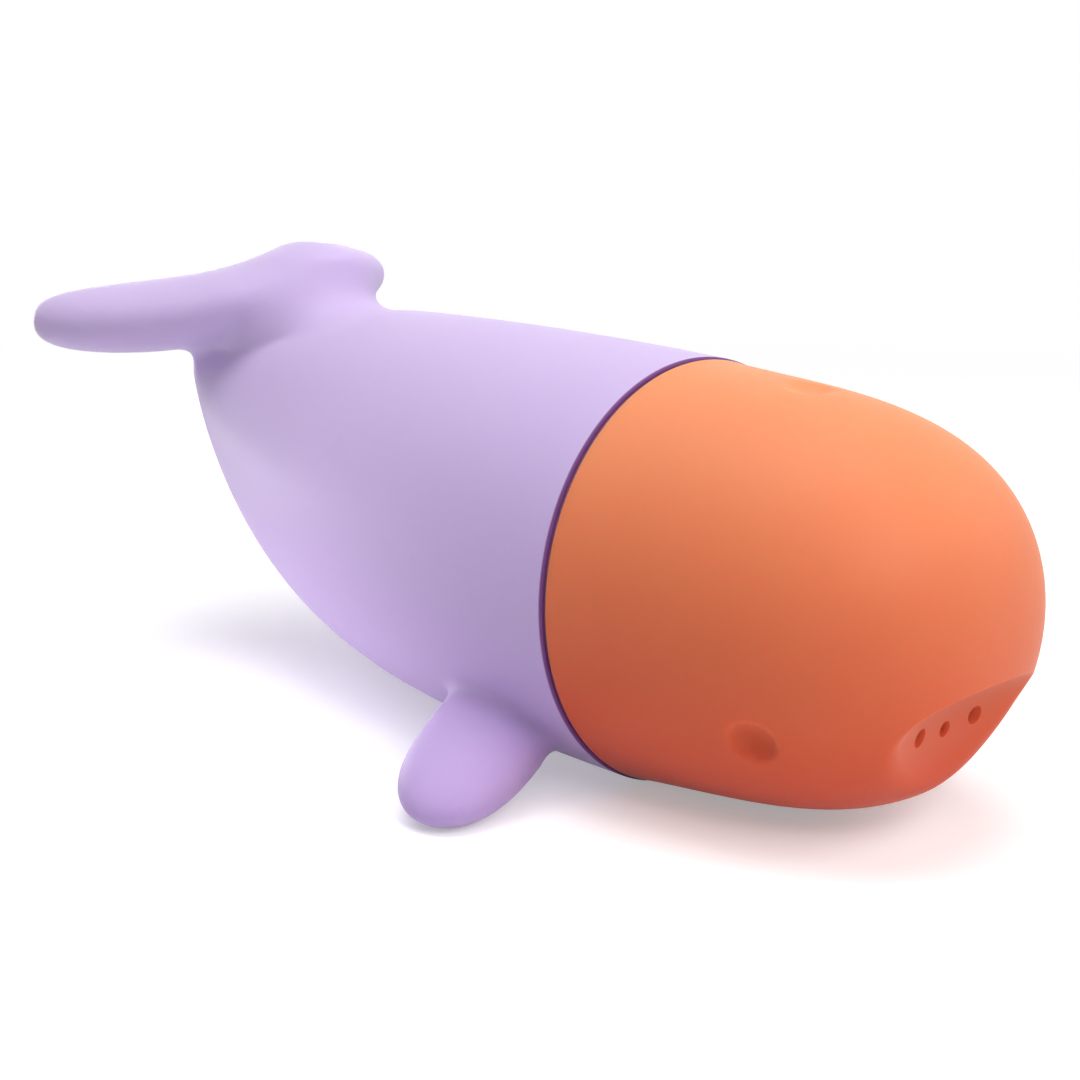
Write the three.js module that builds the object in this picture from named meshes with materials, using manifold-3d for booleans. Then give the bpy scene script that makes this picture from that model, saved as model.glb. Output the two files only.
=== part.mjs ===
import * as THREE from "three";
import { mergeVertices } from "three/addons/utils/BufferGeometryUtils.js";
import Module from "manifold-3d";

const wasm = await Module();
wasm.setup();

// Millimetres. The whale looks along +X, +Z is up, and the two halves meet on a circle square to X.
const seamRadius = 22.5;
const wall = 2.6;

// Head, a body of revolution that is blunt at the nose.
const headLength = 36.8;
const headDraft = 0.198;
const noseSquareness = 3.24;
const noseRoundness = 2.23;
const headWall = 3.4;
const noseWall = 5;

// Tail, with a level back and a belly that sweeps up to the fluke.
const tailLength = 79.5;
const backRise = 6.7;
const backDip = 5.1;
const bellySweep = 3.58;
const bellyEnd = 0.55;
const tailEndHeight = 8.5;
const tailEndWidth = 22.4;
const flankFullness = 2.27;
const rimStep = 0.22;

// Push joint: a ribbed collar behind the head in a plain bore inside the tail's mouth.
const collarLength = 10;
const collarWall = 2.2;
const ribHeight = 0.5;
const ribWidth = 1.8;
const slideClearance = 0.3;
const collarEndClearance = 0.8;
const seamGap = 0.3;

// Mouth, a dish scooped from the lower front, with a row of jets.
const mouthForward = 0.825;
const mouthDrop = 0.43;
const mouthPitch = 30;
const mouthHalfDepth = 9;
const mouthHalfHeight = 12.8;
const mouthHalfWidth = 16.7;
const jetDiameter = 1.2;
const jetSpacing = 4.6;
const jetSmile = 0.4;

// Eyes and blowhole, shallow dished dimples.
const eyeForward = 0.59;
const eyeAngle = 117.4;
const eyeDiameter = 5;
const eyeDepth = 0.9;
const blowholeForward = 0.379;
const blowholeDiameter = 5.6;
const blowholeDepth = 0.7;

// Fluke, two thick swept lobes level with the back.
const flukeInset = 10.6;
const flukeLift = 3.7;
const flukeSweep = 27.7;
const flukeReach = 24.1;
const flukeDroop = 5.6;
const flukeDroopEarly = 2.68;
const flukeRootChord = 21.8;
const flukeTipChord = 15.6;
const flukeRootThickness = 9.4;
const flukeTipThickness = 9.6;
const flukeTipFullness = 5.6;
const flukeBend = 0.18;
const flukeFan = 34;
const flukeFanBy = 0.36;

// Flippers, stubby paddles low on the flanks.
const flipperBack = 13.3;
const flipperOut = 15.1;
const flipperDown = 14.9;
const flipperSweep = 8;
const flipperReach = 18.3;
const flipperDrop = 4.9;
const flipperChord = 13.8;
const flipperThickness = 7.2;
const flipperTipFullness = 3.75;
const flipperTwist = 11;

// Sitting flat under the belly, measured up from the lowest line of the joint.
const sittingFlat = 1;

const halfTurn = Math.PI / 180;
const boreRadius = seamRadius - wall;
const ribRadius = boreRadius - slideClearance;
const collarRadius = ribRadius - ribHeight;
const throatRadius = collarRadius - collarWall;
const boreDepth = collarLength + collarEndClearance;

// A closed solid from a geometry, with its faces turned outwards.
function solidOf(source) {
  const plain = source.index ? source.toNonIndexed() : source.clone();
  plain.deleteAttribute("normal");
  plain.deleteAttribute("uv");
  const merged = mergeVertices(plain, 1e-4);
  const place = merged.getAttribute("position");
  const index = merged.index.array;
  const kept = [];
  let volume = 0;
  const a = new THREE.Vector3();
  const b = new THREE.Vector3();
  const c = new THREE.Vector3();
  for (let i = 0; i < index.length; i += 3) {
    const [p, q, r] = [index[i], index[i + 1], index[i + 2]];
    if (p === q || q === r || p === r) continue;
    kept.push(p, q, r);
    a.fromBufferAttribute(place, p);
    b.fromBufferAttribute(place, q);
    c.fromBufferAttribute(place, r);
    volume += a.dot(b.cross(c));
  }
  if (volume < 0) kept.reverse();
  return new wasm.Manifold(
    new wasm.Mesh({
      numProp: 3,
      vertProperties: new Float32Array(place.array),
      triVerts: new Uint32Array(kept),
    }),
  );
}

// A skin over rings of points, closed to a point at each end.
function loft(rings, first, last) {
  const count = rings[0].length;
  const points = [first, ...rings.flat(), last];
  const end = points.length - 1;
  const faces = [];
  for (let j = 0; j < count; j++) {
    const k = (j + 1) % count;
    faces.push(0, 1 + k, 1 + j);
    faces.push(end, end - count + j, end - count + k);
    for (let i = 0; i + 1 < rings.length; i++) {
      const low = 1 + i * count;
      const high = low + count;
      faces.push(low + j, low + k, high + j);
      faces.push(high + j, low + k, high + k);
    }
  }
  return new THREE.BufferGeometry().setFromPoints(points).setIndex(faces);
}

// A profile of (distance along X, radius) turned about the X axis.
function turned(profile, segments) {
  const points = profile.map(([x, r]) => new THREE.Vector2(Math.max(r, 0), x));
  return new THREE.LatheGeometry(points, segments).rotateZ(-Math.PI / 2);
}

function steps(count, place) {
  return Array.from({ length: count }, (_, i) => place(i / (count - 1), i));
}

// Outside radius of the head at a distance ahead of the joint line.
function headRadius(x) {
  const u = Math.min(Math.max(x / headLength, 0), 1);
  const full = 1 - headDraft * u * (1 - u);
  return seamRadius * full * (1 - u ** noseSquareness) ** (1 / noseRoundness);
}

// A point of the head's skin at an angle from the top, and the way out there.
function headPoint(x, degrees, side) {
  const turn = degrees * halfTurn;
  const slope = (headRadius(x + 0.05) - headRadius(x - 0.05)) / 0.1;
  const around = new THREE.Vector3(0, side * Math.sin(turn), Math.cos(turn));
  const place = around.clone().multiplyScalar(headRadius(x)).setX(x);
  return { place, out: around.setX(-slope).normalize() };
}

// A ball that dishes the skin to a given diameter and depth.
function dimple({ place, out }, diameter, depth) {
  const radius = (diameter ** 2 / 4 + depth ** 2) / (2 * depth);
  const centre = place.clone().addScaledVector(out, radius - depth);
  return solidOf(new THREE.SphereGeometry(radius, 32, 20).translate(...centre));
}

// The mouth's dish, grown by a margin.
const mouthTurn = mouthPitch * halfTurn;
const mouthOut = new THREE.Vector3(Math.cos(mouthTurn), 0, -Math.sin(mouthTurn));
const mouthFloor = new THREE.Vector3(mouthForward * headLength, 0, -mouthDrop * seamRadius);
const mouthCentre = mouthFloor.clone().addScaledVector(mouthOut, mouthHalfDepth);
function mouthDish(margin, around, down) {
  const ball = new THREE.SphereGeometry(1, around, down);
  ball.scale(mouthHalfDepth + margin, mouthHalfWidth + margin, mouthHalfHeight + margin);
  return solidOf(ball.rotateY(mouthTurn).translate(...mouthCentre));
}

function jet(side) {
  const shaft = new THREE.CylinderGeometry(jetDiameter / 2, jetDiameter / 2, 4 * headWall, 16);
  shaft.rotateZ(-Math.PI / 2).rotateY(mouthTurn);
  const rise = Math.abs(side) * jetSmile;
  return solidOf(shaft.translate(mouthFloor.x, side * jetSpacing, mouthFloor.z + rise));
}

const sittingLevel = -seamRadius + sittingFlat;
const below = 4 * seamRadius;
function underFloor() {
  const slab = new THREE.BoxGeometry(4 * tailLength, 8 * seamRadius, below);
  return solidOf(slab.translate(0, 0, sittingLevel - below / 2));
}

function makeHead() {
  const skin = steps(30, (t) => {
    const x = headLength * (1 - (1 - t) ** 1.9);
    return [x, headRadius(x)];
  });
  let body = solidOf(turned([[0, 0], ...skin], 64));
  const rib = (x) => [
    [x, collarRadius],
    [x + ribWidth * 0.3, ribRadius],
    [x + ribWidth * 0.7, ribRadius],
    [x + ribWidth, collarRadius],
  ];
  const root = 2 * wall;
  const collar = [[-collarLength, 0], [-collarLength, collarRadius - ribHeight]];
  collar.push([-collarLength + ribHeight, collarRadius]);
  collar.push(...rib(-0.72 * collarLength), ...rib(-0.38 * collarLength));
  collar.push([root, collarRadius], [root, 0]);
  body = body.add(solidOf(turned(collar, 64)));

  // The hollow: a throat through the collar that opens out behind a thick nose.
  const inLength = headLength - noseWall;
  const inShare = (seamRadius - headWall) / seamRadius;
  const inRadius = (x) => inShare * headRadius((x * headLength) / inLength);
  const shoulder = wall;
  const hollow = [[-collarLength - wall, 0], [-collarLength - wall, throatRadius], [shoulder, throatRadius]];
  const flare = shoulder + (inRadius(shoulder) - throatRadius);
  hollow.push(
    ...steps(16, (t) => {
      const x = flare + (inLength - flare) * (1 - (1 - t) ** 1.9);
      return [x, inRadius(x)];
    }),
  );
  const room = solidOf(turned(hollow, 48)).subtract(mouthDish(headWall, 36, 20));
  body = body.subtract(mouthDish(0, 52, 32)).subtract(room);
  for (const side of [-1, 0, 1]) body = body.subtract(jet(side));
  const eyeX = eyeForward * headLength;
  for (const side of [-1, 1]) {
    body = body.subtract(dimple(headPoint(eyeX, eyeAngle, side), eyeDiameter, eyeDepth));
  }
  const spout = headPoint(blowholeForward * headLength, 0, 1);
  body = body.subtract(dimple(spout, blowholeDiameter, blowholeDepth));
  return body.subtract(underFloor());
}

// Top, bottom and half-width of the tail at a share of its length.
const backEnd = seamRadius + backRise - backDip;
function tailSection(u) {
  const top = seamRadius + backRise * u - backDip * u * u;
  const climb = backEnd - tailEndHeight + seamRadius;
  const bottom = -seamRadius + climb * (1 - (1 - u ** bellySweep) ** bellyEnd);
  const narrow = tailEndWidth / 2;
  const side = narrow + (seamRadius - narrow) * (1 - u ** flankFullness);
  const proud = rimStep * (1 - u);
  return { top: top + proud, bottom: bottom - proud, side: side + proud };
}

function tailRing(u, x, inset, size, count) {
  const { top, bottom, side } = tailSection(u);
  const middle = (top + bottom) / 2;
  const tall = size * ((top - bottom) / 2 - inset);
  const wide = size * (side - inset);
  return Array.from({ length: count }, (_, j) => {
    const turn = (2 * Math.PI * j) / count;
    return new THREE.Vector3(x, wide * Math.sin(turn), middle + tall * Math.cos(turn));
  });
}

const tailX = (u) => -seamGap - (tailLength - seamGap) * u;
function tailMiddle(u) {
  const { top, bottom } = tailSection(u);
  return (top + bottom) / 2;
}

function tailSkin() {
  const rings = steps(34, (t) => {
    const u = 1 - (1 - t) ** 1.8;
    return tailRing(u, tailX(u), 0, 1, 52);
  });
  const round = tailEndHeight / 2;
  for (const share of [0.4, 0.7, 0.9]) {
    rings.push(tailRing(1, tailX(1) - round * share, 0, Math.sqrt(1 - share ** 2), 52));
  }
  const first = new THREE.Vector3(tailX(0), 0, tailMiddle(0));
  const last = new THREE.Vector3(tailX(1) - round, 0, tailMiddle(1));
  return solidOf(loft(rings, first, last));
}

const hollowStart = boreDepth / tailLength;
const hollowEnd = 0.95;
function tailHollow() {
  const rings = steps(18, (t) => {
    const share = 0.995 * (1 - (1 - t) ** 1.6);
    const u = hollowStart + (hollowEnd - hollowStart) * share;
    const inset = wall * (1 + 0.5 * share * share);
    return tailRing(u, tailX(u), inset, Math.sqrt(1 - share ** 4), 44);
  });
  const first = new THREE.Vector3(tailX(hollowStart), 0, tailMiddle(hollowStart));
  const last = new THREE.Vector3(tailX(hollowEnd), 0, tailMiddle(hollowEnd));
  const bore = [[-boreDepth - wall, 0], [-boreDepth - wall, boreRadius], [wall, boreRadius], [wall, 0]];
  return solidOf(loft(rings, first, last)).add(solidOf(turned(bore, 64)));
}

// A rounded paddle from a root towards a tip, with its flat across the line between them.
function paddle({ root, reach, chord, thickness, fullness, twist }) {
  const tip = root.clone().add(reach);
  const along = reach.clone().normalize();
  const fore = new THREE.Vector3(1, 0, 0);
  fore.addScaledVector(along, -fore.dot(along)).normalize().applyAxisAngle(along, twist * halfTurn);
  const thin = along.clone().cross(fore);
  const count = 24;
  const stations = steps(14, (t) => 1 - (1 - t) ** 1.8).slice(0, -1);
  const rings = stations.map((s) => {
    const taper = Math.sqrt(1 - s ** fullness);
    const long = (chord / 2) * taper;
    const tall = (thickness / 2) * taper;
    const centre = root.clone().addScaledVector(reach, s);
    return Array.from({ length: count }, (_, j) => {
      const turn = (2 * Math.PI * j) / count;
      const p = centre.clone().addScaledVector(fore, long * Math.cos(turn));
      return p.addScaledVector(thin, tall * Math.sin(turn));
    });
  });
  return loft(rings, root, tip);
}

function bothSides(shape) {
  return solidOf(shape).add(solidOf(shape.clone().scale(1, -1, 1)));
}

// The fluke is one skin from tip to tip, whose sections turn outwards with the sweep.
function fluke() {
  const soft = (s) => (Math.hypot(s, flukeBend) - flukeBend) / (Math.hypot(1, flukeBend) - flukeBend);
  const fan = flukeFan * halfTurn;
  const spine = (signed) => {
    const back = soft(Math.abs(signed));
    const x = -tailLength + flukeInset - flukeSweep * back;
    const drop = flukeDroop * (1 - (1 - back) ** flukeDroopEarly);
    return new THREE.Vector3(x, signed * flukeReach, backEnd + flukeLift - drop);
  };
  const ring = (signed) => {
    const s = Math.abs(signed);
    const taper = Math.sqrt(1 - s ** flukeTipFullness);
    const long = (THREE.MathUtils.lerp(flukeRootChord, flukeTipChord, s) / 2) * taper;
    const tall = (THREE.MathUtils.lerp(flukeRootThickness, flukeTipThickness, s) / 2) * taper ** 0.7;
    const swing = Math.sign(signed) * fan * Math.sin((Math.PI / 2) * Math.min(1, s / flukeFanBy));
    const centre = spine(signed);
    return Array.from({ length: 24 }, (_, j) => {
      const turn = (2 * Math.PI * j) / 24;
      const ahead = long * Math.cos(turn);
      const offset = new THREE.Vector3(ahead * Math.cos(swing), ahead * Math.sin(swing), tall * Math.sin(turn));
      return offset.add(centre);
    });
  };
  const half = steps(20, (t) => 1 - (1 - t) ** 1.4).slice(1, -1);
  const stations = [...half.map((s) => -s).reverse(), 0, ...half];
  return solidOf(loft(stations.map(ring), spine(-1), spine(1)));
}

function flippers() {
  return bothSides(
    paddle({
      root: new THREE.Vector3(-flipperBack, flipperOut, -flipperDown),
      reach: new THREE.Vector3(flipperSweep, flipperReach, -flipperDrop),
      chord: flipperChord,
      thickness: flipperThickness,
      fullness: flipperTipFullness,
      twist: flipperTwist,
    }),
  );
}

function makeTail() {
  const body = tailSkin().add(fluke()).add(flippers());
  return body.subtract(tailHollow()).subtract(underFloor());
}

function piece(name, body, look) {
  const made = body.getMesh();
  const place = new Float32Array(made.numVert * 3);
  for (let i = 0; i < made.numVert; i++) {
    const from = i * made.numProp;
    place.set(made.vertProperties.subarray(from, from + 3), i * 3);
  }
  const shape = new THREE.BufferGeometry();
  shape.setAttribute("position", new THREE.BufferAttribute(place, 3));
  shape.setIndex(new THREE.BufferAttribute(new Uint32Array(made.triVerts), 1));
  shape.computeVertexNormals();
  const mesh = new THREE.Mesh(shape, new THREE.MeshStandardMaterial(look));
  mesh.name = name;
  return mesh;
}

const whale = new THREE.Group();
whale.name = "whale_squirt_toy";
whale.add(piece("tail_body", makeTail(), { color: 0xcbb6e4, roughness: 0.6, metalness: 0 }));
whale.add(piece("head", makeHead(), { color: 0xf0855a, roughness: 0.6, metalness: 0 }));

// The frame sits on the floor, under the middle of the toy.
const box = new THREE.Box3().setFromObject(whale);
const middle = box.getCenter(new THREE.Vector3());
for (const mesh of whale.children) mesh.geometry.translate(-middle.x, 0, -box.min.z);

export default whale;
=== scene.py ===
import bpy
import math
import numpy as np
from mathutils import Matrix, Vector
from mathutils.bvhtree import BVHTree


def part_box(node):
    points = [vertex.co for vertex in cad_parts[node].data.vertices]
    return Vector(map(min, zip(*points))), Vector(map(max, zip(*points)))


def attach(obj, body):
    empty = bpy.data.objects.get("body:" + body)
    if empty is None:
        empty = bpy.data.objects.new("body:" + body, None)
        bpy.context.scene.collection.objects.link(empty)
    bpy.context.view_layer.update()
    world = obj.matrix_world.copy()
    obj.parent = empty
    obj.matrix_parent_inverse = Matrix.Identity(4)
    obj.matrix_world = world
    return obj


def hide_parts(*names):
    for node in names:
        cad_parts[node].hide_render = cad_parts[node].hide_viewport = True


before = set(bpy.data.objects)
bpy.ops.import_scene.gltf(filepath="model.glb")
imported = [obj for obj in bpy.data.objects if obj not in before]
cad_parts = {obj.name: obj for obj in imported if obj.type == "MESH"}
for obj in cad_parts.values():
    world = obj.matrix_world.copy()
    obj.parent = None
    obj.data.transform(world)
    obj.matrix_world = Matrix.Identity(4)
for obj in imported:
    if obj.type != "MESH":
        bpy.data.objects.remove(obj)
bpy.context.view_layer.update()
mm = 0.001

# the circle where the halves meet, in millimetres, and its place in the frame
joint = {
    "radius": 22.5,
    "headLength": 36.8,
    "gap": 0.3,
    "boreRadius": 19.9,
    "boreDepth": 10.8,
}
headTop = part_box("head")[1]
seamX = headTop.x - joint["headLength"] * mm
seamZ = headTop.z - joint["radius"] * mm


def spot(x, y, z):
    return Vector((seamX + x * mm, y * mm, seamZ + z * mm))


def clearSelection():
    if bpy.context.object and bpy.context.object.mode != "OBJECT":
        bpy.ops.object.mode_set(mode="OBJECT")
    bpy.ops.object.select_all(action="DESELECT")


def takeUp(piece):
    clearSelection()
    piece.select_set(True)
    bpy.context.view_layer.objects.active = piece


def finishWith(piece, kind, **settings):
    takeUp(piece)
    modifier = piece.modifiers.new(kind.lower(), kind)
    for key, value in settings.items():
        setattr(modifier, key, value)
    bpy.ops.object.modifier_apply(modifier=modifier.name)


def addRing(name, count, turn):
    clearSelection()
    bpy.ops.mesh.primitive_circle_add(vertices=count, radius=mm, fill_type="NOTHING", rotation=turn)
    ring = bpy.context.object
    ring.name = name
    bpy.ops.object.transform_apply(location=True, rotation=True, scale=True)
    bpy.ops.object.mode_set(mode="EDIT")
    bpy.ops.mesh.select_all(action="SELECT")
    return ring


def growRing(step, centre, scale):
    bpy.ops.mesh.extrude_region_move(TRANSFORM_OT_translate={"value": step})
    bpy.ops.transform.resize(value=scale, center_override=centre)


def closeEnd(step):
    bpy.ops.mesh.extrude_region_move(TRANSFORM_OT_translate={"value": step})
    bpy.ops.mesh.merge(type="CENTER")


def facesOut():
    bpy.ops.mesh.select_all(action="SELECT")
    bpy.ops.mesh.normals_make_consistent(inside=False)
    bpy.ops.object.mode_set(mode="OBJECT")


def pointsOf(piece):
    points = np.empty(len(piece.data.vertices) * 3)
    piece.data.vertices.foreach_get("co", points)
    return (points.reshape(-1, 3) - (seamX, 0, seamZ)) / mm


def setPoints(piece, points):
    placed = np.asarray(points) * mm + (seamX, 0, seamZ)
    piece.data.vertices.foreach_set("co", placed.ravel())
    piece.data.update()


def ease(t):
    t = np.clip(t, 0, 1)
    return t * t * (3 - 2 * t)


def gathered(i, count, power):
    # steps from 0 to 1 that draw closer towards the end
    return 1 - (1 - i / count) ** power


def softMin(a, b, k):
    blend = np.clip(1 - np.abs(a - b) / k, 0, 1)
    return np.minimum(a, b) - k * blend * blend / 4


# camera where the picture was taken from
shot = {
    "eye": (108.80, -127.26, 41.91),
    "aim": (-23.96, 0.0, -0.34),
    "roll": -0.3235,
    "lens": 54.14,
    "sensor": 36,
    "nearest": 0.01,
}
eye = spot(*shot["eye"])
look = (spot(*shot["aim"]) - eye).to_track_quat("-Z", "Y").to_matrix().to_4x4()
cameraData = bpy.data.cameras.new("photo_camera")
cameraData.lens = shot["lens"]
cameraData.sensor_width = shot["sensor"]
cameraData.clip_start = shot["nearest"]
camera = bpy.data.objects.new("photo_camera", cameraData)
camera.matrix_world = Matrix.Translation(eye) @ look @ Matrix.Rotation(math.radians(shot["roll"]), 4, "Z")
bpy.context.scene.collection.objects.link(camera)
bpy.context.scene.camera = camera
bpy.context.scene.view_settings.view_transform = "Standard"
print("camera set")


# tail half: belly that sweeps up under a level back
tailForm = {
    "length": 79.5,
    "backRise": 6.7,
    "backDip": 5.1,
    "bellySweep": 3.58,
    "bellyEnd": 0.55,
    "endHeight": 8.5,
    "endWidth": 22.4,
    "endPoint": 0.06,
    "flankFullness": 2.27,
    "rimStep": 0.22,
    "overrun": 0.08,
    "around": 120,
    "along": 60,
    "gather": 1.7,
    "endSteps": 8,
    "voxel": 0.54,
}
backEnd = joint["radius"] + tailForm["backRise"] - tailForm["backDip"]


def tailSection(u):
    f, r = tailForm, joint["radius"]
    rise = max(u, 0)
    top = r + f["backRise"] * u - f["backDip"] * u * u
    bottom = -r + (backEnd - f["endHeight"] + r) * (1 - (1 - rise ** f["bellySweep"]) ** f["bellyEnd"])
    narrow = f["endWidth"] / 2
    side = narrow + (r - narrow) * (1 - rise ** f["flankFullness"])
    proud = f["rimStep"] * (1 - rise)
    return (top + bottom) / 2, side + proud, (top - bottom) / 2 + proud


def tailX(u):
    return -joint["gap"] - (tailForm["length"] - joint["gap"]) * u


def makeTailSkin():
    f = tailForm
    skin = addRing("tail_half", f["around"], (0, math.pi / 2, 0))
    # it starts ahead of the seam, where it is cut later
    stations = [(tailX(-f["overrun"]), *tailSection(-f["overrun"]), 1.0)]
    for i in range(f["along"] + 1):
        u = gathered(i, f["along"], f["gather"])
        stations.append((tailX(u), *tailSection(u), 1.0))
    endRound = f["endHeight"] / 2
    for i in range(1, f["endSteps"] + 1):
        turn = i * math.pi / (2 * f["endSteps"] + 2)
        stations.append((tailX(1) - endRound * math.sin(turn), *tailSection(1), math.cos(turn)))
    x, middle, wide, tall = stations[0][:4]
    bpy.ops.transform.translate(value=spot(x, 0, middle))
    bpy.ops.transform.resize(value=(1, wide, tall), center_override=spot(x, 0, middle))
    bpy.ops.mesh.edge_face_add()
    for last, here in zip(stations, stations[1:]):
        step = ((here[0] - last[0]) * mm, 0, (here[1] - last[1]) * mm)
        wide = here[2] * here[4] / (last[2] * last[4])
        tall = here[3] * here[4] / (last[3] * last[4])
        growRing(step, spot(here[0], 0, here[1]), (1, wide, tall))
    closeEnd((-endRound * f["endPoint"] * mm, 0, 0))
    facesOut()
    return skin


# fluke: one skin from lobe to lobe, its sections turned outwards with the sweep
flukeForm = {
    "inset": 11.7,
    "lift": 3.7,
    "sweep": 29.0,
    "reach": 24.6,
    "droop": 4.3,
    "droopEarly": 3.4,
    "rootChord": 20.6,
    "tipChord": 15.3,
    "rootThickness": 9.6,
    "tipThickness": 9.4,
    "tipFullness": 5.6,
    "tipThinning": 0.7,
    "bend": 0.13,
    "fan": 42.0,
    "fanBy": 0.39,
    "lean": 3.6,
    "farLift": 2.1,
    "farShort": 1.5,
    "farFrom": 3.0,
    "farOver": 14.0,
    "around": 72,
    "along": 44,
    "gather": 1.8,
}
# rise of the back into the fluke's top
saddleForm = {"centre": (-69.5, -3.0, 22.6), "half": (13.0, 8.8, 7.5)}


def flukeStation(s):
    f = flukeForm
    bend = f["bend"]
    back = (math.hypot(s, bend) - bend) / (math.hypot(1, bend) - bend)
    drop = f["droop"] * (1 - (1 - back) ** f["droopEarly"])
    centre = (
        -tailForm["length"] + f["inset"] - f["sweep"] * back,
        s * f["reach"],
        backEnd + f["lift"] - drop,
    )
    taper = math.sqrt(1 - s ** f["tipFullness"])
    chord = (f["rootChord"] + (f["tipChord"] - f["rootChord"]) * s) / 2 * taper
    thick = (f["rootThickness"] + (f["tipThickness"] - f["rootThickness"]) * s) / 2
    thick = thick * taper ** f["tipThinning"]
    swing = math.radians(f["fan"]) * math.sin(math.pi / 2 * min(1, s / f["fanBy"]))
    return spot(*centre), chord, thick, swing


def makeFluke():
    f = flukeForm
    fluke = addRing("fluke", f["around"], (math.pi / 2, 0, 0))
    centre, chord, thick, swing = flukeStation(0)
    bpy.ops.transform.translate(value=centre)
    bpy.ops.transform.resize(value=(chord, 1, thick), center_override=centre)
    for i in range(1, f["along"]):
        at, wide, tall, turn = flukeStation(gathered(i, f["along"], f["gather"]))
        growRing(at - centre, at, (wide / chord, wide / chord, tall / thick))
        bpy.ops.transform.rotate(value=swing - turn, orient_axis="Z", center_override=at)
        centre, chord, thick, swing = at, wide, tall, turn
    closeEnd(flukeStation(1)[0] - centre)
    bpy.ops.object.mode_set(mode="OBJECT")
    finishWith(fluke, "MIRROR", use_axis=(False, True, False), use_clip=True, merge_threshold=0.00001)
    # the soft fluke leans a little to the near side, and its far lobe curls up
    root = Matrix.Translation(spot(0, 0, backEnd + f["lift"]))
    fluke.matrix_world = root @ Matrix.Rotation(math.radians(f["lean"]), 4, "X") @ root.inverted()
    bpy.ops.object.transform_apply(location=True, rotation=True, scale=True)
    points = pointsOf(fluke)
    far = ease((points[:, 1] - f["farFrom"]) / f["farOver"])
    points[:, 2] += f["farLift"] * far
    points[:, 1] -= f["farShort"] * far
    setPoints(fluke, points)
    bpy.ops.object.mode_set(mode="EDIT")
    facesOut()
    return fluke


def makeSaddle():
    clearSelection()
    middle = spot(*saddleForm["centre"])
    bpy.ops.mesh.primitive_uv_sphere_add(segments=64, ring_count=40, radius=1, location=middle)
    saddle = bpy.context.object
    saddle.scale = Vector(saddleForm["half"]) * mm
    bpy.ops.object.transform_apply(location=True, rotation=True, scale=True)
    return saddle


# flippers: stubby paddles low on the flanks
flipperForm = {
    "root": (-13.3, 15.1, -14.9),
    "reach": (8.0, 18.3, -4.9),
    "chord": 13.8,
    "thickness": 7.2,
    "tipFullness": 3.75,
    "twist": 11.0,
    "around": 64,
    "along": 36,
    "gather": 1.8,
}


def makeFlippers():
    f = flipperForm
    reach = Vector(f["reach"])
    length = reach.length
    flipper = addRing("flippers", f["around"], (0, 0, 0))
    bpy.ops.transform.resize(value=(f["chord"] / 2, f["thickness"] / 2, 1), center_override=(0, 0, 0))
    bpy.ops.mesh.edge_face_add()
    far, taper = 0.0, 1.0
    for i in range(1, f["along"]):
        s = gathered(i, f["along"], f["gather"])
        slim = math.sqrt(1 - s ** f["tipFullness"])
        growRing((0, 0, (s - far) * length * mm), (0, 0, s * length * mm), (slim / taper, slim / taper, 1))
        far, taper = s, slim
    closeEnd((0, 0, (1 - far) * length * mm))
    bpy.ops.object.mode_set(mode="OBJECT")
    along = reach.normalized()
    fore = Vector((1, 0, 0))
    fore = (fore - along * fore.dot(along)).normalized()
    fore.rotate(Matrix.Rotation(math.radians(f["twist"]), 3, along))
    basis = Matrix((fore, along.cross(fore), along)).transposed().to_4x4()
    flipper.matrix_world = Matrix.Translation(spot(*f["root"])) @ basis
    bpy.ops.object.transform_apply(location=True, rotation=True, scale=True)
    finishWith(flipper, "MIRROR", use_axis=(False, True, False), use_mirror_merge=False)
    bpy.ops.object.mode_set(mode="EDIT")
    facesOut()
    return flipper


def nearness(points, tree):
    placed = points * mm + (seamX, 0, seamZ)
    return np.array([tree.find_nearest(p)[3] for p in placed.tolist()]) / mm


def treeOf(piece):
    mesh = piece.data
    return BVHTree.FromPolygons([v.co for v in mesh.vertices], [tuple(p.vertices) for p in mesh.polygons])


# fillets where the limbs leave the body, reach in millimetres and smoothing passes
fillets = {
    "flukeTop": {"reach": 9.0, "passes": 500},
    "flukeUnder": {"reach": 3.2, "passes": 40},
    "flipper": {"reach": 3.0, "passes": 40},
}
# zone of the fillet on the fluke's top: heights, half-width and how far it fades at each
topZone = {"from": 21.0, "fadeIn": 3, "to": 31.0, "fadeOut": 2, "halfWidth": 13.0, "fadeSide": 6}
# a fillet is full to 0.2 of its reach and gone at 1.2
smoothing = {"factor": 0.5, "firstPasses": 6, "gone": 1.2, "leastWeight": 0.01}


def smoothBy(piece, name, weights, passes):
    group = piece.vertex_groups.new(name=name)
    for index in np.nonzero(weights > smoothing["leastWeight"])[0].tolist():
        group.add([index], float(weights[index]), "REPLACE")
    finishWith(piece, "SMOOTH", factor=smoothing["factor"], iterations=passes, vertex_group=name)


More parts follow.
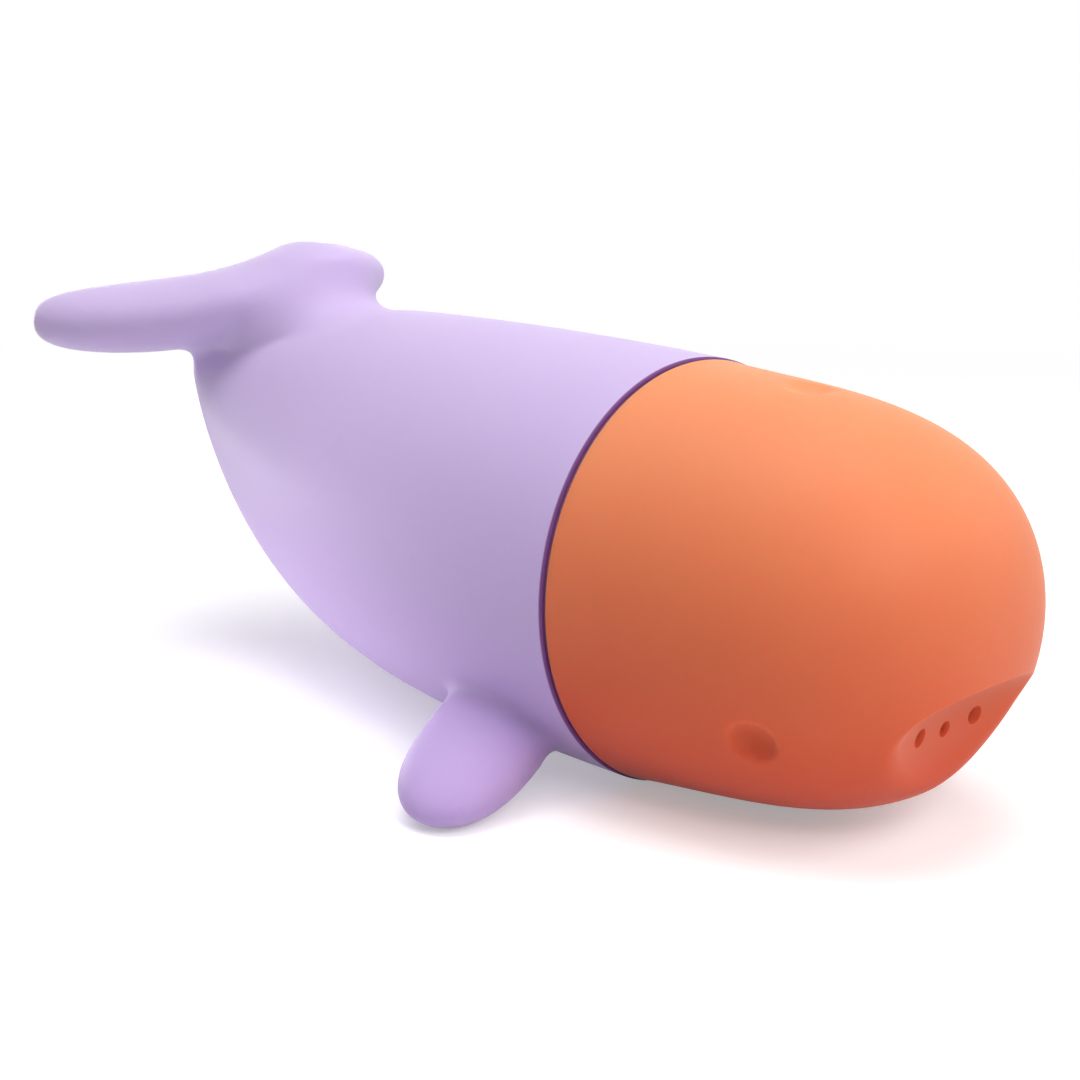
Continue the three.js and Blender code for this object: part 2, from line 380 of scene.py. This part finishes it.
def makeTail():
    skin = makeTailSkin()
    fluke = makeFluke()
    flippers = makeFlippers()
    saddle = makeSaddle()
    limbs = (fluke, flippers, saddle)
    trees = [treeOf(p) for p in (skin, fluke, flippers)]
    takeUp(skin)
    for limb in limbs:
        limb.select_set(True)
    bpy.ops.object.join()
    finishWith(skin, "REMESH", mode="VOXEL", voxel_size=tailForm["voxel"] * mm, use_smooth_shade=True)
    finishWith(skin, "SMOOTH", factor=smoothing["factor"], iterations=smoothing["firstPasses"])
    points = pointsOf(skin)
    bodyGap, flukeGap, flipperGap = [nearness(points, t) for t in trees]
    zone, level, aside = topZone, points[:, 2], np.abs(points[:, 1])
    upper = ease((level - zone["from"]) / zone["fadeIn"]) * ease((zone["to"] - level) / zone["fadeOut"])
    upper = upper * ease((zone["halfWidth"] - aside) / zone["fadeSide"])
    byFluke = np.maximum(bodyGap, flukeGap)
    byFlipper = np.maximum(bodyGap, flipperGap)
    corners = {"flukeTop": (upper, byFluke), "flukeUnder": (1 - upper, byFluke), "flipper": (1, byFlipper)}
    for name, (share, gap) in corners.items():
        fillet = fillets[name]
        smoothBy(skin, name, share * ease(smoothing["gone"] - gap / fillet["reach"]), fillet["passes"])
    skin.vertex_groups.clear()
    print("tail skin", len(skin.data.vertices), "points")
    return skin


# mouth, bore and hollow of the tail
hollowForm = {
    "lipRound": 0.3,
    "innerRound": 0.4,
    "rimWeld": 0.15,
    "boreStart": 2.0,
    "wall": 2.6,
    "wallSwell": 0.5,
    "end": 0.95,
    "endRound": 4,
    "endPoint": 0.3,
    "along": 29,
    "gather": 1.6,
    "closing": 0.995,
}


def openTail(skin):
    # cut at the mouth, roll the lip in, then bore and hollow it out
    f = hollowForm
    lip = f["lipRound"]
    mouthX = -joint["gap"] - lip
    takeUp(skin)
    bpy.ops.object.mode_set(mode="EDIT")
    bpy.ops.mesh.select_all(action="SELECT")
    bpy.ops.mesh.bisect(plane_co=spot(mouthX, 0, 0), plane_no=(1, 0, 0), clear_outer=True, use_fill=False)
    bpy.ops.object.mode_set(mode="OBJECT")
    edge = np.abs(pointsOf(skin)[:, 0] - mouthX) < 0.001
    skin.data.vertices.foreach_set("select", edge)
    bpy.ops.object.mode_set(mode="EDIT")
    bpy.ops.mesh.select_mode(type="VERT")
    bpy.ops.mesh.remove_doubles(threshold=f["rimWeld"] * mm)
    rim = joint["radius"] + tailForm["rimStep"]
    quarter = np.linspace(0, math.pi / 2, 6)
    path = [(mouthX + lip * math.sin(a), rim - lip * (1 - math.cos(a))) for a in quarter]
    bore = joint["boreRadius"]
    inner = f["innerRound"]
    for a in quarter:
        path.append((-joint["gap"] - inner * (1 - math.cos(a)), bore + inner * (1 - math.sin(a))))
    path += [(-x, bore) for x in np.linspace(f["boreStart"], joint["boreDepth"], 5)]
    for last, here in zip(path, path[1:]):
        size = here[1] / last[1]
        growRing(((here[0] - last[0]) * mm, 0, 0), spot(here[0], 0, 0), (1, size, size))
    start = joint["boreDepth"] / tailForm["length"]
    ends = [(path[-1][0], 0.0, bore, bore)]
    for i in range(1, f["along"] + 1):
        share = f["closing"] * gathered(i, f["along"], f["gather"])
        u = start + (f["end"] - start) * share
        inset = f["wall"] * (1 + f["wallSwell"] * share * share)
        size = math.sqrt(1 - share ** f["endRound"])
        middle, wide, tall = tailSection(u)
        ends.append((tailX(u), middle, size * (wide - inset), size * (tall - inset)))
    for last, here in zip(ends, ends[1:]):
        step = ((here[0] - last[0]) * mm, 0, (here[1] - last[1]) * mm)
        growRing(step, spot(here[0], 0, here[1]), (1, here[2] / last[2], here[3] / last[3]))
    closeEnd((-f["endPoint"] * mm, 0, 0))
    facesOut()
    # the belly sits flat
    points = pointsOf(skin)
    floorLevel = -seamZ / mm
    points[:, 2] = np.maximum(points[:, 2], floorLevel)
    setPoints(skin, points)


tail = makeTail()
openTail(tail)
print("tail opened", len(tail.data.polygons), "faces")


# head half: a turned skin with its collar, ribs and hollow in one profile
headForm = {
    "draft": 0.198,
    "noseSquareness": 3.24,
    "noseRoundness": 2.23,
    "wall": 3.4,
    "noseWall": 5.0,
    "collarLength": 10.0,
    "collarRadius": 19.1,
    "collarRound": 0.5,
    "collarPlain": 1.0,
    "throatRadius": 16.9,
    "throatTurn": 0.3,
    "ribHeight": 0.5,
    "ribWidth": 1.8,
    "ribFullness": 0.6,
    "ribStarts": (-7.2, -3.8),
    "faceInset": 1.5,
    "lipRound": 0.3,
    "skinDepth": 0.6,
    "noseCap": 1,
    "inAlong": 30,
    "inGather": 1.9,
    "along": 118,
    "fineSteps": 4000,
    "around": 300,
}


def headRadius(x):
    u = np.clip(np.asarray(x, float) / joint["headLength"], 0, 1)
    full = 1 - headForm["draft"] * u * (1 - u)
    return joint["radius"] * full * (1 - u ** headForm["noseSquareness"]) ** (1 / headForm["noseRoundness"])


def headProfile():
    f = headForm
    long = joint["headLength"]
    inLong = long - f["noseWall"]
    inShare = (joint["radius"] - f["wall"]) / joint["radius"]
    profile = []
    flare = f["wall"] + inShare * float(headRadius(f["wall"])) - f["throatRadius"]
    for i in range(f["inAlong"] + 1):
        t = i / f["inAlong"]
        x = flare + (inLong - flare) * (1 - t ** f["inGather"])
        profile.append((x, inShare * float(headRadius(x * long / inLong))))
    profile.append((f["wall"], f["throatRadius"]))
    back = -f["collarLength"]
    soft = f["collarRound"]
    profile += [(x, f["throatRadius"]) for x in np.linspace(0, back + soft, 5)]
    for a in np.linspace(f["throatTurn"], math.pi / 2, 4):
        profile.append((back + soft * (1 - math.sin(a)), f["throatRadius"] + soft * (1 - math.cos(a))))
    for a in np.linspace(0, math.pi / 2, 5):
        profile.append((back + soft * (1 - math.cos(a)), f["collarRadius"] - soft * (1 - math.sin(a))))
    for start in f["ribStarts"]:
        for t in np.linspace(0, 1, 9):
            swell = math.sin(math.pi * t) ** f["ribFullness"] if 0 < t < 1 else 0
            profile.append((start + f["ribWidth"] * t, f["collarRadius"] + f["ribHeight"] * swell))
    profile += [(-f["collarPlain"], f["collarRadius"]), (0.0, f["collarRadius"])]
    profile.append((0.0, joint["radius"] - f["faceInset"]))
    lip = f["lipRound"]
    for a in np.linspace(0, math.pi / 2, 7):
        profile.append((lip * (1 - math.cos(a)), joint["radius"] - lip * (1 - math.sin(a))))
    # the skin is walked at even steps, so the nose keeps enough faces
    share = np.linspace(0, 1, f["fineSteps"])
    xs = lip + (long - lip) * (1 - (1 - share) ** 3)
    rs = headRadius(xs)
    walk = np.concatenate([[0], np.cumsum(np.hypot(np.diff(xs), np.diff(rs)))])
    for s in np.linspace(0, walk[-1], f["along"])[1:]:
        profile.append((float(np.interp(s, walk, xs)), float(np.interp(s, walk, rs))))
    profile[-1] = (long, 0.0)
    return profile


def spinHead():
    profile = headProfile()
    clearSelection()
    bpy.ops.mesh.primitive_plane_add(size=mm)
    head = bpy.context.object
    head.name = "head_half"
    bpy.ops.object.mode_set(mode="EDIT")
    bpy.ops.mesh.select_all(action="SELECT")
    bpy.ops.mesh.merge(type="CENTER")
    bpy.ops.transform.translate(value=spot(profile[0][0], 0, profile[0][1]))
    for last, here in zip(profile, profile[1:]):
        step = ((here[0] - last[0]) * mm, 0, (here[1] - last[1]) * mm)
        bpy.ops.mesh.extrude_vertices_move(TRANSFORM_OT_translate={"value": step})
    bpy.ops.mesh.select_all(action="SELECT")
    bpy.ops.mesh.spin(steps=headForm["around"], angle=2 * math.pi, center=spot(0, 0, 0), axis=(1, 0, 0))
    bpy.ops.mesh.select_all(action="SELECT")
    bpy.ops.mesh.remove_doubles(threshold=0.002 * mm)
    facesOut()
    return head


# mouth: a dish scooped from the lower front, crisp at the upper lip
mouthForm = {
    "forward": 0.835,
    "drop": 0.43,
    "pitch": 10.0,
    "halfDepth": 7.0,
    "raised": 0.5,
    "halfAbove": 6.7,
    "halfBelow": 13.0,
    "halfWidth": 17.5,
    "upperLip": 0.3,
    "lowerLip": 1.6,
    "insideLip": 0.2,
    "lipTurn": 1.6,
    "rimAt": 0.99,
    "rimLeast": 0.01,
    "rimSteep": 4,
    "onlyPast": 8,
}
# where the mouth's faces are made finer
finer = {"from": 27, "below": -1.5, "halfWidth": 13, "byNose": 1.5}
mouthTurn = math.radians(mouthForm["pitch"])
mouthOut = np.array((math.cos(mouthTurn), 0, -math.sin(mouthTurn)))
mouthUp = np.array((math.sin(mouthTurn), 0, math.cos(mouthTurn)))
mouthFloor = np.array((mouthForm["forward"] * joint["headLength"], 0, -mouthForm["drop"] * joint["radius"]))


def scoopMouth(points, margin, lips):
    f = mouthForm
    centre = mouthFloor + f["halfDepth"] * mouthOut + f["raised"] * mouthUp
    away = points - centre
    high = away @ mouthUp
    tall = np.where(high > 0, f["halfAbove"], f["halfBelow"]) + margin
    spread = (away[:, 1] / (f["halfWidth"] + margin)) ** 2 + (high / tall) ** 2
    deep = f["halfDepth"] + margin
    # past its rim the dish carries on as a steep wall, so the lip can be rounded there
    dish = -deep * np.sqrt(np.clip(1 - spread, f["rimLeast"], 1))
    dish = dish + deep * f["rimSteep"] * np.maximum(spread - f["rimAt"], 0)
    now = away @ mouthOut
    side = np.arctan2(high / tall, np.abs(away[:, 1]) / f["halfWidth"])
    soft = np.full(len(points), f["insideLip"])
    if lips:
        soft = f["upperLip"] + (f["lowerLip"] - f["upperLip"]) * ease(0.5 - side / f["lipTurn"])
    ahead = points[:, 0] > f["onlyPast"]
    moved = np.where(ahead, softMin(now, dish, soft), now)
    return points + (moved - now)[:, None] * mouthOut


# eyes and blowhole: shallow dished dimples, place along the head and angle from the top
dimples = {
    "eyes": {"forward": 0.59, "angle": 117.4, "diameter": 5.0, "depth": 1.35, "rim": 0.15},
    "blowhole": {"forward": 0.379, "angle": 0.0, "diameter": 5.6, "depth": 0.7, "rim": 0.3},
}
# how much of the ball presses, how far past it, and the step that the slope is taken over
pressing = {"share": 0.98, "past": 3, "slopeStep": 0.05, "least": 1e-6}


def pressDimple(points, form, side):
    x = form["forward"] * joint["headLength"]
    step = pressing["slopeStep"]
    slope = float(headRadius(x + step) - headRadius(x - step)) / (2 * step)
    turn = math.radians(form["angle"])
    around = np.array((0, side * math.sin(turn), math.cos(turn)))
    place = around * float(headRadius(x)) + (x, 0, 0)
    out = around + (-slope, 0, 0)
    out /= np.linalg.norm(out)
    radius = (form["diameter"] ** 2 / 4 + form["depth"] ** 2) / (2 * form["depth"])
    away = points - place - out * (radius - form["depth"])
    now = away @ out
    wide2 = (away ** 2).sum(1) - now ** 2
    near = (wide2 < (radius * pressing["share"]) ** 2) & (np.abs(now) < radius + pressing["past"])
    ball = -np.sqrt(np.maximum(radius ** 2 - wide2, pressing["least"]))
    moved = np.where(near, softMin(now, ball, form["rim"]), now)
    return points + (moved - now)[:, None] * out


# jets: straight shafts that open out softly at the mouth's floor
jetForm = {
    "diameter": 1.2,
    "flare": 1.9,
    "flareFrom": -0.9,
    "flareRise": 1.1,
    "deep": 7.0,
    "above": 3.0,
    "aboveFlare": 1.6,
    "spacing": 4.6,
    "smile": 0.4,
    "around": 40,
}


def cutJets(head):
    f = jetForm
    narrow, wide = f["diameter"] / 2, f["flare"] / 2
    path = [(-f["deep"], narrow), (f["flareFrom"], narrow)]
    for t in (0.25, 0.5, 0.75, 1.0):
        path.append((f["flareFrom"] + f["flareRise"] * t, narrow + (wide - narrow) * t * t))
    path.append((f["above"], wide * f["aboveFlare"]))
    shafts = []
    for side in (-1, 0, 1):
        shaft = addRing("jet", f["around"], (0, 0, 0))
        bpy.ops.transform.resize(value=(narrow, narrow, 1), center_override=(0, 0, 0))
        bpy.ops.mesh.edge_face_add()
        for last, here in zip(path, path[1:]):
            size = here[1] / last[1]
            step, centre = (here[0] - last[0]) * mm, (here[0] - path[0][0]) * mm
            growRing((0, 0, step), (0, 0, centre), (size, size, 1))
        facesOut()
        at = mouthFloor + (0, side * f["spacing"], abs(side) * f["smile"]) + path[0][0] * mouthOut
        shaft.matrix_world = Matrix.Translation(spot(*at)) @ Matrix.Rotation(math.pi / 2 + mouthTurn, 4, "Y")
        bpy.ops.object.transform_apply(location=True, rotation=True, scale=True)
        shafts.append(shaft)
    takeUp(shafts[0])
    for shaft in shafts[1:]:
        shaft.select_set(True)
    bpy.ops.object.join()
    finishWith(head, "BOOLEAN", operation="DIFFERENCE", solver="EXACT", object=shafts[0])
    bpy.data.objects.remove(shafts[0])


def onSkin(points):
    radial = np.hypot(points[:, 1], points[:, 2])
    return radial > headRadius(points[:, 0]) - headForm["skinDepth"]


def closerMesh(head):
    # finer faces where the mouth is scooped
    points = pointsOf(head)
    lower = (points[:, 0] > finer["from"]) & (points[:, 2] < finer["below"])
    lower &= np.abs(points[:, 1]) < finer["halfWidth"]
    region = lower & (onSkin(points) | (points[:, 0] > joint["headLength"] - finer["byNose"]))
    takeUp(head)
    bpy.ops.object.mode_set(mode="EDIT")
    bpy.ops.mesh.select_mode(type="VERT")
    bpy.ops.mesh.select_all(action="DESELECT")
    bpy.ops.object.mode_set(mode="OBJECT")
    head.data.vertices.foreach_set("select", region)
    bpy.ops.object.mode_set(mode="EDIT")
    bpy.ops.mesh.subdivide(number_cuts=1, smoothness=0)
    bpy.ops.object.mode_set(mode="OBJECT")


def makeHead():
    head = spinHead()
    closerMesh(head)
    points = pointsOf(head)
    byNose = points[:, 0] > joint["headLength"] - headForm["noseCap"]
    outside = (points[:, 0] >= 0) & onSkin(points) | byNose
    inside = ~outside & (points[:, 0] > headForm["wall"] + 0.1)
    skin = scoopMouth(points[outside], 0, True)
    for side in (-1, 1):
        skin = pressDimple(skin, dimples["eyes"], side)
    points[outside] = pressDimple(skin, dimples["blowhole"], 1)
    points[inside] = scoopMouth(points[inside], headForm["wall"], False)
    points[:, 2] = np.maximum(points[:, 2], -seamZ / mm)
    setPoints(head, points)
    cutJets(head)
    print("head turned", len(head.data.polygons), "faces")
    return head


head = makeHead()


# soft matte silicone, coloured right through; its colour turning darker and deeper towards the belly and
# lighter on top is painted shade below and painted light above
# in each tint the low colour is painted shade at the belly and the high colour is painted light on top
lavender = {
    "low": (0.490, 0.355, 0.660),
    "high": (0.590, 0.465, 0.745),
    "scatter": (1.0, 0.8, 1.0),
    # painted shade for the gap between the halves
    "paintedJointShade": (0.16, 0.055, 0.20),
}
orange = {"low": (0.580, 0.040, 0.014), "high": (0.825, 0.292, 0.130), "scatter": (1.0, 0.30, 0.15)}
silicone = {
    "scatterWeight": 0.6,
    "scatterScale": 0.002,
    "rough": (0.44, 0.54),
    "cloud": 55,
    "cloudDetail": 3,
    "mottle": 0.12,
    "grain": 2600.0,
    "grainDetail": 2,
    "grainHeight": 0.000012,
    "grainStrength": 0.35,
    "sheen": 0.02,
    "sheenRough": 0.4,
    "specular": 0.14,
    "paintedLightHeight": 0.044,
    "creaseAngle": 50,
}
# painted shade of the joint's gap, a dark line on the tail's rim: how far in from the joint's radius, and
# how far behind the seam
paintedJointShadeForm = {"inFrom": 0.5, "inTo": 0.2, "behindFrom": 0.64, "behindTo": 0.46}
# sockets of a colour mix, which share their names
mixSockets = {"share": 0, "plain": 6, "jointShadeColour": 7, "result": 2}


def addMath(nodes, links, operation, first, second):
    joined = nodes.new("ShaderNodeMath")
    joined.operation = operation
    links.new(first, joined.inputs[0])
    links.new(second, joined.inputs[1])
    return joined.outputs[0]


# paints the shade of the gap between the halves onto the tail's rim as a dark line
def paintJointShade(nodes, links, place, along, colour, jointShadeColour):
    drop = nodes.new("ShaderNodeVectorMath")
    drop.operation = "MULTIPLY_ADD"
    drop.inputs[1].default_value = (0, 1, 1)
    drop.inputs[2].default_value = (0, 0, -seamZ)
    links.new(place, drop.inputs[0])
    radius = nodes.new("ShaderNodeVectorMath")
    radius.operation = "LENGTH"
    links.new(drop.outputs["Vector"], radius.inputs[0])
    outer = nodes.new("ShaderNodeMapRange")
    outer.inputs["From Min"].default_value = (joint["radius"] - paintedJointShadeForm["inFrom"]) * mm
    outer.inputs["From Max"].default_value = (joint["radius"] - paintedJointShadeForm["inTo"]) * mm
    links.new(radius.outputs["Value"], outer.inputs["Value"])
    ahead = nodes.new("ShaderNodeMapRange")
    ahead.inputs["From Min"].default_value = seamX - paintedJointShadeForm["behindFrom"] * mm
    ahead.inputs["From Max"].default_value = seamX - paintedJointShadeForm["behindTo"] * mm
    links.new(along, ahead.inputs["Value"])
    edge = addMath(nodes, links, "MULTIPLY", outer.outputs["Result"], ahead.outputs["Result"])
    jointShadeMix = nodes.new("ShaderNodeMix")
    jointShadeMix.data_type = "RGBA"
    jointShadeMix.inputs[mixSockets["jointShadeColour"]].default_value = (*jointShadeColour, 1)
    links.new(edge, jointShadeMix.inputs[mixSockets["share"]])
    links.new(colour, jointShadeMix.inputs[mixSockets["plain"]])
    return jointShadeMix.outputs[mixSockets["result"]]


def makeSilicone(name, tint):
    material = bpy.data.materials.new(name)
    material.use_nodes = True
    nodes, links = material.node_tree.nodes, material.node_tree.links
    shader = nodes["Principled BSDF"]
    place = nodes.new("ShaderNodeTexCoord")
    cloud = nodes.new("ShaderNodeTexNoise")
    cloud.inputs["Scale"].default_value = silicone["cloud"]
    cloud.inputs["Detail"].default_value = silicone["cloudDetail"]
    links.new(place.outputs["Object"], cloud.inputs["Vector"])
    height = nodes.new("ShaderNodeSeparateXYZ")
    links.new(place.outputs["Object"], height.inputs[0])
    # the colour ramps with height from painted shade at the belly to painted light on top
    rise = nodes.new("ShaderNodeMapRange")
    rise.inputs["From Max"].default_value = silicone["paintedLightHeight"]
    # half the mottle either side of the plain rise
    rise.inputs["To Min"].default_value = -silicone["mottle"] / 2
    rise.inputs["To Max"].default_value = 1 - silicone["mottle"] / 2
    links.new(height.outputs["Z"], rise.inputs["Value"])
    mottle = nodes.new("ShaderNodeMath")
    mottle.operation = "MULTIPLY_ADD"
    mottle.inputs[1].default_value = silicone["mottle"]
    links.new(cloud.outputs["Fac"], mottle.inputs[0])
    links.new(rise.outputs["Result"], mottle.inputs[2])
    shade = nodes.new("ShaderNodeValToRGB")
    shade.color_ramp.elements[0].color = (*tint["low"], 1)
    shade.color_ramp.elements[1].color = (*tint["high"], 1)
    links.new(mottle.outputs[0], shade.inputs["Fac"])
    colour = shade.outputs["Color"]
    # painted shade from the joint's gap on the tail's rim
    if "paintedJointShade" in tint:
        where, along = place.outputs["Object"], height.outputs["X"]
        colour = paintJointShade(nodes, links, where, along, colour, tint["paintedJointShade"])
    links.new(colour, shader.inputs["Base Color"])
    grain = nodes.new("ShaderNodeTexNoise")
    grain.inputs["Scale"].default_value = silicone["grain"]
    grain.inputs["Detail"].default_value = silicone["grainDetail"]
    links.new(place.outputs["Object"], grain.inputs["Vector"])
    rough = nodes.new("ShaderNodeMapRange")
    rough.inputs["To Min"].default_value = silicone["rough"][0]
    rough.inputs["To Max"].default_value = silicone["rough"][1]
    links.new(grain.outputs["Fac"], rough.inputs["Value"])
    links.new(rough.outputs["Result"], shader.inputs["Roughness"])
    bump = nodes.new("ShaderNodeBump")
    bump.inputs["Strength"].default_value = silicone["grainStrength"]
    bump.inputs["Distance"].default_value = silicone["grainHeight"]
    links.new(grain.outputs["Fac"], bump.inputs["Height"])
    links.new(bump.outputs["Normal"], shader.inputs["Normal"])
    shader.inputs["Subsurface Weight"].default_value = silicone["scatterWeight"]
    shader.inputs["Subsurface Radius"].default_value = tint["scatter"]
    shader.inputs["Subsurface Scale"].default_value = silicone["scatterScale"]
    shader.inputs["Specular IOR Level"].default_value = silicone["specular"]
    shader.inputs["Sheen Weight"].default_value = silicone["sheen"]
    shader.inputs["Sheen Roughness"].default_value = silicone["sheenRough"]
    return material


for piece, node, body, slotName, tint in (
    (tail, "tail_body", "tail", "lavender_silicone", lavender),
    (head, "head", "head", "orange_silicone", orange),
):
    takeUp(piece)
    bpy.ops.object.shade_smooth_by_angle(angle=math.radians(silicone["creaseAngle"]))
    piece.data.materials.clear()
    piece.data.materials.append(makeSilicone(slotName + "_skin", tint))
    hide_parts(node)
    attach(piece, body)
print("silicone on")


# floor, white to the camera but with the shadow kept, and backdrop
studio = {
    "floorSize": 4.0,
    "floorColour": (0.86, 0.86, 0.87),
    "floorRough": 0.9,
    "floorLift": 0.35,
    "plainFrom": 0.16,
    "plainTo": 0.45,
    "worldFill": 0.03,
}


def whiteRays(nodes, links):
    rays = nodes.new("ShaderNodeLightPath").outputs
    seen = addMath(nodes, links, "MAXIMUM", rays["Is Camera Ray"], rays["Is Glossy Ray"])
    return addMath(nodes, links, "MAXIMUM", seen, rays["Is Transmission Ray"])


clearSelection()
bpy.ops.mesh.primitive_plane_add(size=studio["floorSize"])
floor = bpy.context.object
floor.name = "floor"
floorMaterial = bpy.data.materials.new("pale_floor")
floorMaterial.use_nodes = True
nodes, links = floorMaterial.node_tree.nodes, floorMaterial.node_tree.links
floorShader = nodes["Principled BSDF"]
floorShader.inputs["Base Color"].default_value = (*studio["floorColour"], 1)
floorShader.inputs["Roughness"].default_value = studio["floorRough"]
floorShader.inputs["Specular IOR Level"].default_value = 0.0
floorShader.inputs["Emission Color"].default_value = (1, 1, 1, 1)
lift = nodes.new("ShaderNodeMath")
lift.operation = "MULTIPLY"
lift.inputs[1].default_value = studio["floorLift"]
white = whiteRays(nodes, links)
links.new(white, lift.inputs[0])
links.new(lift.outputs[0], floorShader.inputs["Emission Strength"])
# away from the toy the floor runs out into the white backdrop
plain = nodes.new("ShaderNodeEmission")
place = nodes.new("ShaderNodeTexCoord")
distance = nodes.new("ShaderNodeVectorMath")
distance.operation = "LENGTH"
links.new(place.outputs["Object"], distance.inputs[0])
fade = nodes.new("ShaderNodeMapRange")
fade.interpolation_type = "SMOOTHSTEP"
fade.inputs["From Min"].default_value = studio["plainFrom"]
fade.inputs["From Max"].default_value = studio["plainTo"]
links.new(distance.outputs["Value"], fade.inputs["Value"])
only = addMath(nodes, links, "MULTIPLY", fade.outputs["Result"], white)
mixed = nodes.new("ShaderNodeMixShader")
links.new(only, mixed.inputs[0])
links.new(floorShader.outputs[0], mixed.inputs[1])
links.new(plain.outputs[0], mixed.inputs[2])
links.new(mixed.outputs[0], nodes["Material Output"].inputs["Surface"])
floor.data.materials.append(floorMaterial)

world = bpy.data.worlds.new("studio")
bpy.context.scene.world = world
world.use_nodes = True
nodes, links = world.node_tree.nodes, world.node_tree.links
backdrop = nodes["Background"]
backdrop.inputs["Color"].default_value = (1, 1, 1, 1)
level = nodes.new("ShaderNodeMapRange")
level.inputs["To Min"].default_value = studio["worldFill"]
level.inputs["To Max"].default_value = 1.0
links.new(whiteRays(nodes, links), level.inputs["Value"])
links.new(level.outputs["Result"], backdrop.inputs["Strength"])

# soft lamps: a wide key overhead, a second past the nose, low rims behind the tail,
# two small cards low beside it and one by the eye
lampAim = (0, 0, 0.02)
lamps = {
    "key": {"from": (0.0, 0.0, 0.62), "size": 0.50, "watts": 2.36},
    "tailSide": {"from": (-0.26, -0.26, 0.60), "size": 0.40, "watts": 0.92},
    "nearSide": {"from": (0.30, -0.40, 0.50), "size": 0.20, "watts": 0.20},
    "noseHigh": {"from": (0.45, -0.05, 0.45), "size": 0.40, "watts": 1.45},
    "noseFill": {"from": (0.60, -0.05, 0.25), "size": 0.40, "watts": 0.16},
    "farHigh": {"from": (0.35, 0.40, 0.40), "size": 0.40, "watts": 0.46},
    "farFill": {"from": (0.45, 0.45, 0.20), "size": 0.40, "watts": 0.48},
    "rimFar": {"from": (-0.50, 0.22, 0.06), "size": 0.35, "watts": 0.29},
    "rimLow": {"from": (-0.45, 0.05, 0.055), "size": 0.10, "watts": 0.34},
    "nearCard": {
        "from": (-0.06, -0.10, 0.012), "size": 0.03, "watts": 0.0024,
        "spread": 40, "to": (-0.005, -0.012, 0.010),
    },
    "backCard": {
        "from": (-0.13, -0.035, 0.012), "size": 0.03, "watts": 0.002,
        "spread": 30, "to": (-0.04, -0.01, 0.010),
    },
    "eyeSide": {
        "from": (0.138, -0.055, 0.083), "size": 0.03, "watts": 0.020,
        "to": (0.048, -0.019, 0.0125),
    },
}
for name, lamp in lamps.items():
    data = bpy.data.lights.new(name, "AREA")
    data.shape = "DISK"
    data.size = lamp["size"]
    data.energy = lamp["watts"]
    data.spread = math.radians(lamp.get("spread", 180))
    light = bpy.data.objects.new(name, data)
    light.location = lamp["from"]
    light.visible_camera = False
    toward = Vector(lamp.get("to", lampAim)) - Vector(lamp["from"])
    light.rotation_euler = toward.to_track_quat("-Z", "Y").to_euler()
    bpy.context.scene.collection.objects.link(light)
print("stage lit")
